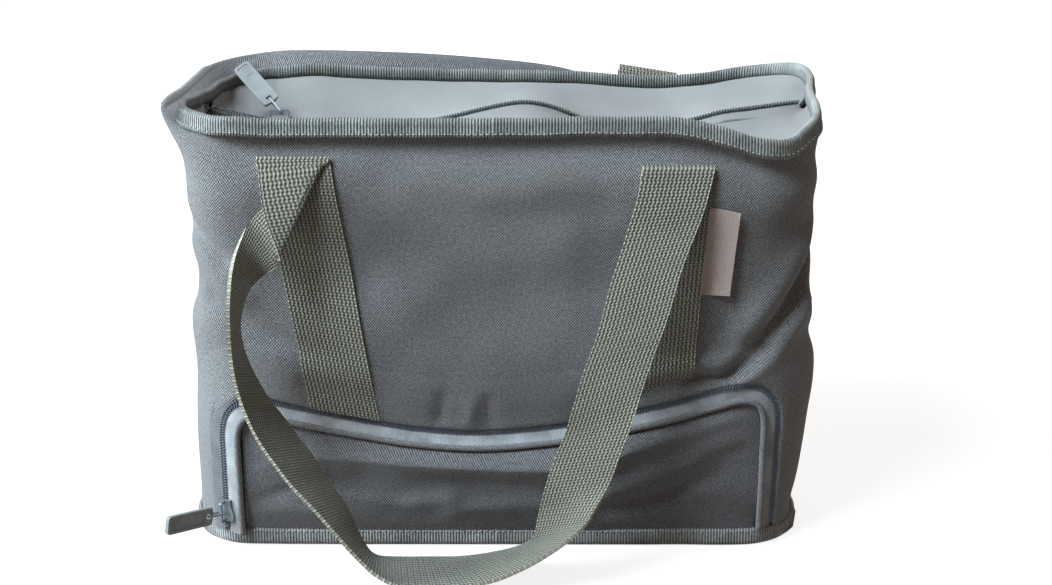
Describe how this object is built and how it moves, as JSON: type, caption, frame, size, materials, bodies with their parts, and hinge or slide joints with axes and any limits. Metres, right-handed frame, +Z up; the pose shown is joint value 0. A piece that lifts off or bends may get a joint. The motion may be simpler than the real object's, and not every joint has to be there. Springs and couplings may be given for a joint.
{
  "type": "soft cooler bag",
  "caption": "Soft insulated lunch cooler: rounded box of grey woven cloth with foam walls, zipped two-flap top, zipped front pocket and webbing carry handles that hang down front and back.",
  "frame": {"origin": "centre of the base's underside, where the bag stands on the floor", "axes": "+X to the right along the bag's width, +Y from the front pocket to the back, +Z up"},
  "size_m": [0.3472, 0.2871, 0.2436],
  "materials": {
    "cloth": "matt woven polyester oxford",
    "webbing": "ribbed flat webbing",
    "binding": "cross-ribbed grosgrain tape",
    "foam": "closed-cell foam sheet",
    "film": "wipe-clean lining film on foam",
    "zip_tape": "woven zip tape",
    "zip_chain": "nylon coil",
    "slider_metal": "die-cast, dull",
    "pull_plastic": "moulded, ribbed",
    "label": "blank woven label"
  },
  "bodies": {
    "shell": {"front_panel": "cloth", "back_panel": "cloth", "foam_front": "foam", "foam_back": "foam", "foam_left": "foam", "foam_right": "foam", "base_panel": "cloth", "foam_base": "foam", "liner": "film", "top_rim_binding": "binding", "base_binding": "binding", "front_strap_left": "webbing", "front_strap_right": "webbing", "back_strap_left": "webbing", "back_strap_right": "webbing", "side_label": "label", "top_zip_tape_front": "zip_tape", "top_zip_chain_front": "zip_chain", "top_zip_tape_rear": "zip_tape", "top_zip_chain_rear": "zip_chain", "top_front_left_end_cover": "cloth", "top_front_left_end_lining": "film", "top_front_right_end_cover": "cloth", "top_front_right_end_lining": "film", "top_rear_left_end_cover": "cloth", "top_rear_left_end_lining": "film", "top_rear_right_end_cover": "cloth", "top_rear_right_end_lining": "film", "pocket_outer_tape": "zip_tape", "pocket_panel_lower": "cloth"},
    "front_handle": {"front_handle_loop": "webbing"},
    "rear_handle": {"rear_handle_loop": "webbing"},
    "top_front_flap": {"top_front_cover": "cloth", "top_front_lining": "film"},
    "top_rear_flap": {"top_rear_cover": "cloth", "top_rear_lining": "film"},
    "top_slider": {"top_slider_body": "slider_metal"},
    "top_pull": {"top_pull_link": "slider_metal", "top_pull_tab": "pull_plastic"},
    "pocket_flap": {"pocket_panel": "cloth", "pocket_inner_tape": "zip_tape", "pocket_piping": "cloth"},
    "pocket_slider": {"pocket_slider_body": "slider_metal"},
    "pocket_pull": {"pocket_pull_link": "slider_metal", "pocket_pull_tab": "pull_plastic"}
  },
  "joints": [
    {"name": "front_handle_swing", "type": "hinge", "parent": "shell", "child": "front_handle", "pos_m": [0, -0.08655, 0.206], "axis": [-1, 0, 0], "range_deg": [0, 130]},
    {"name": "rear_handle_swing", "type": "hinge", "parent": "shell", "child": "rear_handle", "pos_m": [0, 0.09477, 0.2289], "axis": [1, 0, 0], "range_deg": [0, 160]},
    {"name": "top_front_flap_lift", "type": "hinge", "parent": "shell", "child": "top_front_flap", "pos_m": [0, -0.0802, 0.2172], "axis": [1, 0, 0], "range_deg": [0, 70], "deforming": ["top_zip_tape_front", "top_zip_chain_front"]},
    {"name": "top_rear_flap_lift", "type": "hinge", "parent": "shell", "child": "top_rear_flap", "pos_m": [0, 0.08027, 0.2172], "axis": [-1, 0, 0], "range_deg": [0, 70], "deforming": ["top_zip_tape_rear", "top_zip_chain_rear"]},
    {"name": "top_zip", "type": "slide", "parent": "shell", "child": "top_slider", "axis": [0.9998, 0, 0.0195], "range_m": [0, 0.256], "deforming": ["top_zip_tape_front", "top_zip_chain_front", "top_zip_tape_rear", "top_zip_chain_rear"]},
    {"name": "top_pull_swing", "type": "hinge", "parent": "top_slider", "child": "top_pull", "pos_m": [-0.11912, 0, 0.2191], "axis": [1, 0, 0], "range_deg": [0, 100]},
    {"name": "pocket_flap_open", "type": "hinge", "parent": "shell", "child": "pocket_flap", "pos_m": [0, -0.0943, 0.028], "axis": [1, 0, 0], "range_deg": [0, 15], "deforming": ["pocket_inner_tape", "pocket_piping"]},
    {"name": "pocket_zip", "type": "slide", "parent": "shell", "child": "pocket_slider", "axis": [0, 0, 1], "range_m": [0, 0.032], "deforming": ["pocket_outer_tape", "pocket_inner_tape"]},
    {"name": "pocket_pull_swing", "type": "hinge", "parent": "pocket_slider", "child": "pocket_pull", "pos_m": [-0.14448, -0.09012, 0.021], "axis": [0, 0, 1], "range_deg": [-44, 86]}
  ]
}
